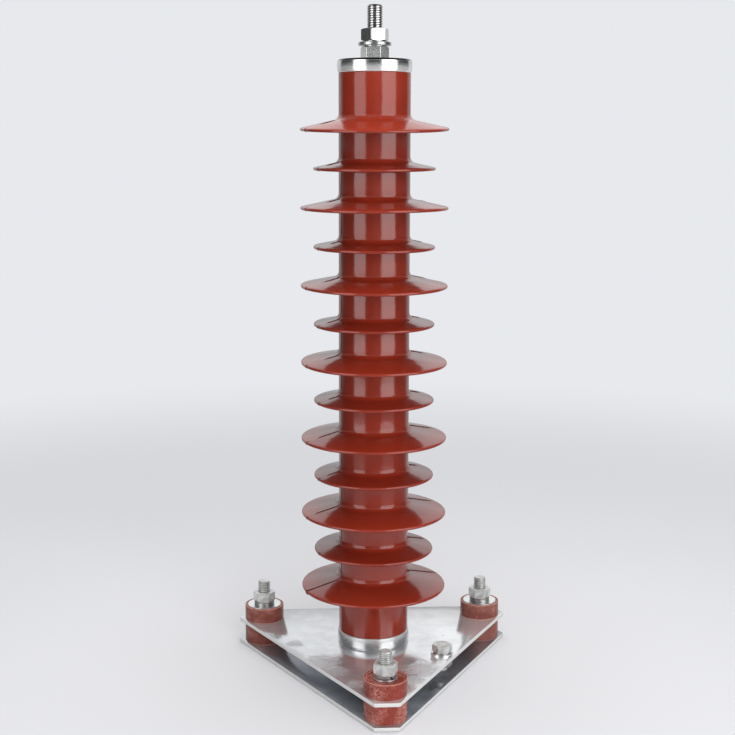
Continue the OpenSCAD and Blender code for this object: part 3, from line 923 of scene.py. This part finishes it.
for side, _, nut_turn, split in POSTS:
    look = FIBROUS if side == "front" else LOOKS["bush_resin"]
    centre = middle_of(f"base_stud_{side}")
    low, high = heights(f"lower_bush_{side}")
    bush(f"bush_low_{side}", f"lower_bush_{side}", centre, [
        (BUSH_BORE, low), (BUSH_R, low), (BUSH_R, high), (SEAT_R, high), (SEAT_R, high - SEAT_H),
        (BUSH_BORE, high - SEAT_H),
    ], look)
    low, high = heights(f"upper_bush_{side}")
    shelf = high - UPPER_H
    recess = heights(f"base_flat_washer_{side}")[0]
    bush(f"bush_high_{side}", f"upper_bush_{side}", centre, [
        (BUSH_BORE, low), (NECK_R, low), (NECK_R, shelf), (BUSH_R, shelf), (BUSH_R, high),
        (BUSH_R - WALL, high), (BUSH_R - WALL, recess), (BUSH_BORE, recess),
    ], look)
    low, high = heights(f"base_flat_washer_{side}")
    reach = SMALL_WASHER_R if side == "front" else BUSH_R - WIDE_GAP
    washer(f"flat_{side}", f"base_flat_washer_{side}", centre, low, reach, BUSH_BORE, high - low,
           BASE_WASHER_EDGE)
    low, high = heights(f"base_spring_washer_{side}")
    spring(f"lock_{side}", f"base_spring_washer_{side}", centre, low, SPRING_R, SPRING_BORE, high - low,
           split, SPRING_GAP)
    low, high = heights(f"base_nut_{side}")
    nut(f"nut_{side}", f"base_nut_{side}", centre, low, high - low, BASE_AF, BASE_NUT_BORE, nut_turn, "low")
    low, high = heights(f"base_stud_{side}")
    stud(
        f"stud_{side}", f"base_stud_{side}", centre, BASE_R, BASE_PITCH,
        [(0.0, 0.0), (HEAD_R - HEAD_EDGE, 0.0), (HEAD_R, HEAD_EDGE), (HEAD_R, HEAD_H), (BASE_R, HEAD_H),
         (BASE_R, BASE_PLAIN_TOP)],
        BASE_THREAD_FOOT, high, BASE_TIP,
    )

# The earth bolt

EARTH_R, EARTH_TIP_R, EARTH_TIP_H = 4.0, 3.3, 0.8
EARTH_AF, EARTH_HEAD_H, EARTH_NUT_BORE = 14.0, 5.0, 3.6
EARTH_FLAT = EARTH_AF / 2 * FLAT_SHARE

# The dished top of the head: inset from the flat circle and depth under the head's top
EARTH_DISH = ((0.0, 0.05), (0.3, 0.0), (0.9, 0.0), (1.4, 0.25))
EARTH_DISH_DEPTH, EARTH_UNDERCUT = 0.3, 0.2
EARTH_SPRING = {"outer": 6.9, "inner": 4.3, "split": 60, "gap": 1.5}
EARTH_WASHER_BORE = 4.5

centre = middle_of("earth_bolt")
low, high = heights("earth_bolt")
head_foot = high - EARTH_HEAD_H
hexed("earth_screw", "earth_bolt", centre, EARTH_AF, 0, [
    (0.0, low), (EARTH_TIP_R, low), (EARTH_R, low + EARTH_TIP_H), (EARTH_R, head_foot),
    (EARTH_FLAT - EARTH_UNDERCUT, head_foot), ("hex", head_foot, 0), ("hex", high, -1),
    *((EARTH_FLAT - inset, high - depth) for inset, depth in EARTH_DISH),
    (0.0, high - EARTH_DISH_DEPTH),
])
low, high = heights("earth_spring_washer")
spring("earth_lock", "earth_spring_washer", centre, z=low, height=high - low, **EARTH_SPRING)
low, high = heights("earth_flat_washer")
washer("earth_washer", "earth_flat_washer", centre, low, SMALL_WASHER_R, EARTH_WASHER_BORE, high - low)
low, high = heights("earth_nut")
nut("earth_hex_nut", "earth_nut", centre, low, high - low, EARTH_AF, EARTH_NUT_BORE, 0, "high", DARK_STEEL)

# The plates: sheet with slightly softened edges, its sides and tips a little way outside
# the triangle of studs, and the edge's inset and height at each step

BASE_SHIFT = 2.5
STUD_SPAN, SIDE_MARGIN, TIP_MARGIN = 182, 17.5, 18.8
STUD_CIRCLE = STUD_SPAN / (2 * math.cos(math.radians(30)))
INRADIUS = STUD_CIRCLE / 2 + SIDE_MARGIN
TIP_R = STUD_CIRCLE + TIP_MARGIN
PLATE_CORNER = 0.8
PLATE_EDGE = ((0.22, 0.0), (0.06, 0.08), (0.0, 0.22))


def outline(shrink):
    """Corners of a plate, pulled in by shrink, each corner turned on a small radius."""
    sides = [(math.radians(a + 180), INRADIUS - shrink) for _, a, _, _ in POSTS]
    tips = [(math.radians(a), TIP_R - shrink) for _, a, _, _ in POSTS]
    lines = sorted(sides + tips, key=lambda s: s[0] % (2 * math.pi))
    corners = []
    for k, (a, da) in enumerate(lines):
        b, db = lines[(k + 1) % len(lines)]
        det = math.cos(a) * math.sin(b) - math.sin(a) * math.cos(b)
        x = (da * math.sin(b) - db * math.sin(a)) / det + BASE_SHIFT
        y = (db * math.cos(a) - da * math.cos(b)) / det
        corners.append((x, y))
    out = []
    count = len(corners)
    for k, (x, y) in enumerate(corners):
        px, py = corners[k - 1]
        nx, ny = corners[(k + 1) % count]
        before, after = math.hypot(px - x, py - y), math.hypot(nx - x, ny - y)
        a = x + (px - x) * PLATE_CORNER / before, y + (py - y) * PLATE_CORNER / before
        b = x + (nx - x) * PLATE_CORNER / after, y + (ny - y) * PLATE_CORNER / after
        out += corner_curve(a, (x, y), b, 3)
    return out


def plate(name, node, look=None):
    low, high = heights(node)
    levels = [(inset, low + rise) for inset, rise in PLATE_EDGE]
    levels += [(inset, high - rise) for inset, rise in reversed(PLATE_EDGE)]
    bm = bmesh.new()
    rings = [[bm.verts.new((x, y, z)) for x, y in outline(inset)] for inset, z in levels]
    for a, b in zip(rings, rings[1:]):
        joined(bm, a, b)
    bm.faces.new(list(reversed(rings[0])))
    bm.faces.new(rings[-1])
    return finished(name, bm, node, look)


plate("plate_low", "lower_plate", LOWER_SHEET)
plate("plate_high", "upper_plate")

# Floor, which melts into the pale surround away from the object

PALE = (0.800, 0.815, 0.848, 1.0)
COOL = (0.97, 0.985, 1.0, 1.0)
FLOOR_TONE = (0.70, 0.70, 0.72, 1.0)
FLOOR_R, FLOOR_DROP = 9.0, 0.0003

# Where it has melted, reflections see it bright behind the object and below the boxes.
# Each span says where a soft step starts and ends and its value there, along the cosine
# of the angle from straight behind the object, or along the distance in metres
FLOOR_BEHIND = (0.45, 0.75, 0.12, 0.60)
FLOOR_RISE, FLOOR_FALL = (-0.94, -0.84, 0.0, 0.42), (-0.42, -0.34, 0.42, 0.0)
MELT_SEEN, MELT_MIRRORED = (0.35, 1.3), (0.25, 0.70)


def floor():
    bm = bmesh.new()
    bmesh.ops.create_circle(bm, cap_ends=True, segments=96, radius=FLOOR_R)
    mesh = bpy.data.meshes.new("floor")
    bm.to_mesh(mesh)
    bm.free()
    obj = bpy.data.objects.new("floor", mesh)
    obj.location = (0, 0, -FLOOR_DROP)
    bpy.context.scene.collection.objects.link(obj)
    mat = bpy.data.materials.new("floor_white")
    mat.use_nodes = True
    g = Nodes(mat.node_tree)
    matt = g.tree.nodes["Principled BSDF"]
    matt.inputs["Base Color"].default_value = FLOOR_TONE
    matt.inputs["Roughness"].default_value = 1.0
    matt.inputs["Specular IOR Level"].default_value = 0.0

    place = g.new("NewGeometry").outputs["Position"]
    way = g.vector("NORMALIZE", place)["Vector"]
    along = g.vector("DOT_PRODUCT", way, (*turned(0, 1, -BASE_TURN), 0))["Value"]
    behind = g.ranged(along, *FLOOR_BEHIND, smooth=True)
    rise = g.ranged(along, *FLOOR_RISE, smooth=True)
    fall = g.ranged(along, *FLOOR_FALL, smooth=True)
    level = g.math("ADD", behind, g.math("MINIMUM", rise, fall))
    path = g.new("LightPath").outputs
    away = g.choose(path["Is Camera Ray"], g.shine("Emission", COOL, level), g.shine("Emission", PALE, 1.0))
    reach = g.vector("LENGTH", place)["Value"]
    share = g.new("Mix")
    g.put(share.inputs["Factor"], path["Is Glossy Ray"])
    g.put(share.inputs["A"], g.ranged(reach, *MELT_SEEN, smooth=True))
    g.put(share.inputs["B"], g.ranged(reach, *MELT_MIRRORED, smooth=True))
    surface = g.choose(share.outputs["Result"], matt.outputs[0], away)
    g.put(g.tree.nodes["Material Output"].inputs["Surface"], surface)
    mesh.materials.append(mat)


floor()

# Surround: pale to the camera, a soft fill for matt surfaces, and for reflections a room
# that is pale behind the object, dark at the flanks and round the camera, dim high up and
# dark right overhead, above a pale ground. Spans as above, along a direction or height
ROOM_BEHIND = (0.5, 0.8, 0.06, 1.05)
ROOM_LOW, ROOM_HIGH = (0.08, 0.28, 0.62, 1.05), (0.5, 0.78, 1.05, 0.35)
RING_START, RING_END = (0.2, 0.6, 0.0, 0.4), (0.8, 0.95, 0.4, 0.02)
GROUND, FILL = (-0.06, 0.01, 0.55, 0.0), (-1.0, 1.0, 0.34, 0.62)


def surround():
    world = bpy.data.worlds.new("studio")
    bpy.context.scene.world = world
    world.use_nodes = True
    g = Nodes(world.node_tree)
    seen = g.tree.nodes["Background"]
    seen.inputs["Color"].default_value = PALE
    way = g.split(g.new("TexCoord").outputs["Generated"])

    def facing(x, y):
        x, y = turned(x, y, -BASE_TURN)
        return g.math("MULTIPLY_ADD", way["Y"], y, g.math("MULTIPLY", way["X"], x))

    def by_height(span):
        return g.ranged(way["Z"], *span, smooth=True)

    behind = g.ranged(facing(0, 1), *ROOM_BEHIND, smooth=True)
    behind = g.math("MINIMUM", behind, by_height(ROOM_LOW))
    behind = g.math("MINIMUM", behind, by_height(ROOM_HIGH))
    above = g.math("MINIMUM", by_height(RING_START), by_height(RING_END))
    level = g.math("MAXIMUM", g.math("MAXIMUM", behind, above), by_height(GROUND))
    room = g.shine("Background", COOL, level)
    fill = g.shine("Background", COOL, g.ranged(facing(1, -0.4), *FILL, smooth=True))
    path = g.new("LightPath").outputs
    lit = g.choose(path["Is Glossy Ray"], fill, room)
    chosen = g.choose(path["Is Camera Ray"], lit, seen.outputs[0])
    g.put(g.tree.nodes["World Output"].inputs["Surface"], chosen)


surround()


def softbox(name, seen_by, azimuth, elevation, distance, width, height, radiance, aim):
    """A rectangular light aimed at a height on the axis. Azimuth is from the line of sight,
    positive to the right; seen_by is "gloss" for a box that only shows in reflections, or
    "matt" for one that only lights."""
    target = Vector((0, 0, aim))
    angle = math.radians(azimuth)
    x, y = turned(math.sin(angle), -math.cos(angle), -BASE_TURN)
    lift = math.radians(elevation)
    place = Vector((x * math.cos(lift), y * math.cos(lift), math.sin(lift))) * distance + target
    light = bpy.data.lights.new(name, "AREA")
    light.shape = "RECTANGLE"
    light.size, light.size_y = width, height
    light.energy = radiance * math.pi * width * height
    obj = bpy.data.objects.new(name, light)
    obj.location = place
    obj.rotation_euler = (target - place).to_track_quat("-Z", "Y").to_euler()
    obj.visible_camera = False
    obj.visible_glossy = seen_by == "gloss"
    obj.visible_diffuse = seen_by == "matt"
    bpy.context.scene.collection.objects.link(obj)


# Azimuth and elevation in degrees, distance, width and height in metres, radiance, and aim
softbox("box_left", "gloss", -47.5, 0, 0.85, 0.58, 1.08, 2.0, 0.56)
softbox("box_right", "gloss", 46.0, 0, 0.85, 0.75, 1.08, 2.3, 0.56)
softbox("key", "matt", 18, 4, 1.6, 1.3, 1.3, 4.0, 0.5)
softbox("crown", "matt", -10, 52, 0.55, 0.3, 0.3, 3.4, 0.46)
softbox("overhead", "matt", 180, 84, 0.9, 0.8, 0.8, 4.6, 0.45)

# The camera, at the photograph's viewing angle


def camera():
    data = bpy.data.cameras.new("camera")
    data.sensor_width = SENSOR
    data.lens = FOCAL_PX / FRAME_PX * SENSOR
    data.shift_y = (SIGHT_Y_PX - FRAME_PX / 2) / FRAME_PX
    data.clip_start, data.clip_end = 0.05, 40.0
    obj = bpy.data.objects.new("camera", data)
    bpy.context.scene.collection.objects.link(obj)
    x, y = turned(CAMERA_X, -CAMERA_BACK, -BASE_TURN)
    rx, ry = turned(1, 0, -BASE_TURN)
    fx, fy = turned(0, math.cos(CAMERA_PITCH), -BASE_TURN)
    right = Vector((rx, ry, 0))
    forward = Vector((fx, fy, -math.sin(CAMERA_PITCH)))
    up = right.cross(forward)
    c, s = math.cos(CAMERA_ROLL), math.sin(CAMERA_ROLL)
    right, up = right * c + up * s, up * c - right * s
    turn = Matrix((right, up, -forward)).transposed()
    obj.matrix_world = Matrix.Translation(Vector((x, y, CAMERA_Z)) * MM) @ turn.to_4x4()
    bpy.context.scene.camera = obj


camera()
bpy.context.scene.view_settings.view_transform = "Standard"
